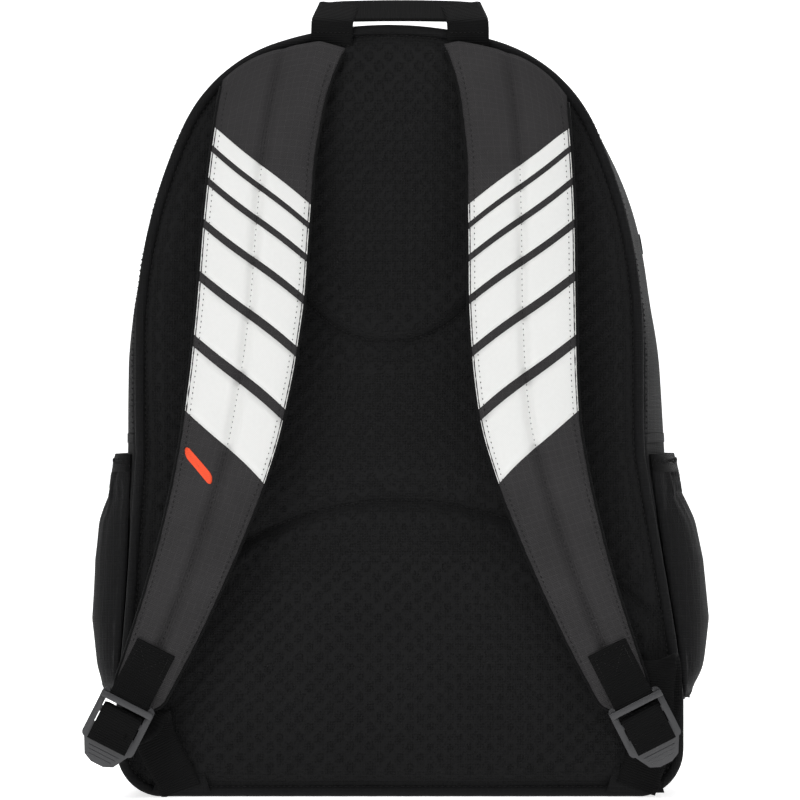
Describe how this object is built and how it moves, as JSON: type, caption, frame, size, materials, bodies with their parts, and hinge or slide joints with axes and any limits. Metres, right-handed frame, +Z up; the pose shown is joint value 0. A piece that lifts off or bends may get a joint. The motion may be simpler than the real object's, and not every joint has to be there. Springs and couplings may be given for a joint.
{
  "type": "racket backpack",
  "caption": "Arched daypack with padded back, shoulder straps with ladder locks, zipped top flap, side pockets and an open front pocket that holds racket heads.",
  "frame": {"origin": "middle of the base patch, on the floor", "axes": "+Z up, the back panel and harness face -Y, +X is to the wearer's right"},
  "size_m": [0.3717, 0.2437, 0.4794],
  "materials": {
    "air_mesh": "dimpled spacer mesh",
    "foam": "closed-cell foam",
    "frame_sheet": "semi-matte sheet",
    "lining": "plain weave lining",
    "shell_fabric": "plain weave polyester, matte",
    "base_fabric": "coated heavy weave",
    "binding": "ribbed grosgrain",
    "zip_tape": "knitted tape",
    "zip_teeth": "moulded coil",
    "slider_metal": "black enamel",
    "pull_rubber": "satin moulded rubber",
    "elastic": "ribbed elastic with zigzag stitch",
    "webbing": "ribbed polypropylene webbing",
    "strap_twill": "fine twill",
    "white_print": "smooth white print",
    "accent_print": "orange-red print",
    "stitching": "polyester thread",
    "moulded_plastic": "satin acetal"
  },
  "bodies": {
    "root": {"back_mesh_face": "air_mesh", "back_foam_board": "foam", "frame_sheet": "frame_sheet", "back_lining": "lining", "lower_back_pad": "air_mesh", "upper_back_pad": "air_mesh", "panel_edge_roll": "shell_fabric", "bottom_panel": "shell_fabric", "left_side_panel": "shell_fabric", "right_side_panel": "shell_fabric", "rear_gusset": "shell_fabric", "front_gusset": "shell_fabric", "base_patch": "base_fabric", "divider_wall": "shell_fabric", "laptop_sleeve": "lining", "sleeve_binding": "binding", "main_zip_rear_tape": "zip_tape", "main_zip_rear_teeth": "zip_teeth", "flap_fold": "shell_fabric", "zip_end_tabs": "webbing", "racket_pocket_gusset": "shell_fabric", "racket_pocket_front": "shell_fabric", "racket_pocket_binding": "binding", "accessory_pocket": "shell_fabric", "pocket_zip_tapes": "zip_tape", "pocket_zip_teeth": "zip_teeth", "left_pocket": "shell_fabric", "right_pocket": "shell_fabric", "left_pocket_elastic": "elastic", "right_pocket_elastic": "elastic", "haul_loop_ends": "webbing", "left_lower_webbing": "webbing", "right_lower_webbing": "webbing"},
    "flap": {"flap_panel": "shell_fabric", "flap_piping": "binding", "main_zip_flap_tape": "zip_tape", "main_zip_flap_teeth": "zip_teeth"},
    "left_slider": {"left_zip_slider": "slider_metal"},
    "right_slider": {"right_zip_slider": "slider_metal"},
    "left_pull": {"left_zip_pull": "pull_rubber"},
    "right_pull": {"right_zip_pull": "pull_rubber"},
    "pocket_slider": {"pocket_zip_slider": "slider_metal"},
    "pocket_pull": {"pocket_zip_pull": "pull_rubber"},
    "haul": {"haul_loop": "webbing"},
    "left_strap": {"left_strap_foam": "foam", "left_strap_cover": "strap_twill", "left_strap_lining": "air_mesh", "left_strap_webbing": "webbing"},
    "right_strap": {"right_strap_foam": "foam", "right_strap_cover": "strap_twill", "right_strap_lining": "air_mesh", "right_strap_webbing": "webbing"},
    "left_lock": {"left_ladder_lock": "moulded_plastic", "left_webbing_tail": "webbing"},
    "right_lock": {"right_ladder_lock": "moulded_plastic", "right_webbing_tail": "webbing"}
  },
  "joints": [
    {"name": "flap_open", "type": "hinge", "parent": "root", "child": "flap", "pos_m": [0, 0.035, 0.337], "axis": [-1, 0, 0], "range_deg": [0, 75]},
    {"name": "left_slider_run", "type": "hinge", "parent": "root", "child": "left_slider", "pos_m": [0, 0.022, 0.308], "axis": [0, -1, 0], "range_deg": [0, 69]},
    {"name": "right_slider_run", "type": "hinge", "parent": "root", "child": "right_slider", "pos_m": [0, 0.022, 0.308], "axis": [0, 1, 0], "range_deg": [0, 69]},
    {"name": "left_pull_swing", "type": "hinge", "parent": "left_slider", "child": "left_pull", "pos_m": [-0.01565, 0.022, 0.46316], "axis": [0, 1, 0], "range_deg": [-4, 80]},
    {"name": "right_pull_swing", "type": "hinge", "parent": "right_slider", "child": "right_pull", "pos_m": [0.01565, 0.022, 0.46316], "axis": [0, -1, 0], "range_deg": [-4, 80]},
    {"name": "pocket_slider_run", "type": "slide", "parent": "root", "child": "pocket_slider", "axis": [1, 0, 0], "range_m": [0, 0.156]},
    {"name": "pocket_pull_swing", "type": "hinge", "parent": "pocket_slider", "child": "pocket_pull", "pos_m": [-0.07875, 0.1075, 0.186], "axis": [0, 0, 1], "range_deg": [0, 80]},
    {"name": "haul_loop_swing", "type": "hinge", "parent": "root", "child": "haul", "pos_m": [0, -0.0939, 0.4636], "axis": [-1, 0, 0], "range_deg": [-75, 30]},
    {"name": "left_strap_swing", "type": "hinge", "parent": "root", "child": "left_strap", "pos_m": [0, -0.0935, 0.452], "axis": [-1, 0, 0], "range_deg": [0, 8]},
    {"name": "right_strap_swing", "type": "hinge", "parent": "root", "child": "right_strap", "pos_m": [0, -0.0935, 0.452], "axis": [-1, 0, 0], "range_deg": [0, 8]},
    {"name": "left_lock_tilt", "type": "hinge", "parent": "left_strap", "child": "left_lock", "pos_m": [-0.161, -0.126, 0.059], "axis": [-0.891, 0, 0.454], "range_deg": [0, 50]},
    {"name": "right_lock_tilt", "type": "hinge", "parent": "right_strap", "child": "right_lock", "pos_m": [0.139, -0.126, 0.059], "axis": [-0.891, 0, -0.454], "range_deg": [0, 50]}
  ],
  "couplings": [
    {"joint": "left_slider_run", "follows": "flap_open", "ratio": 0.92},
    {"joint": "right_slider_run", "follows": "flap_open", "ratio": 0.92}
  ]
}
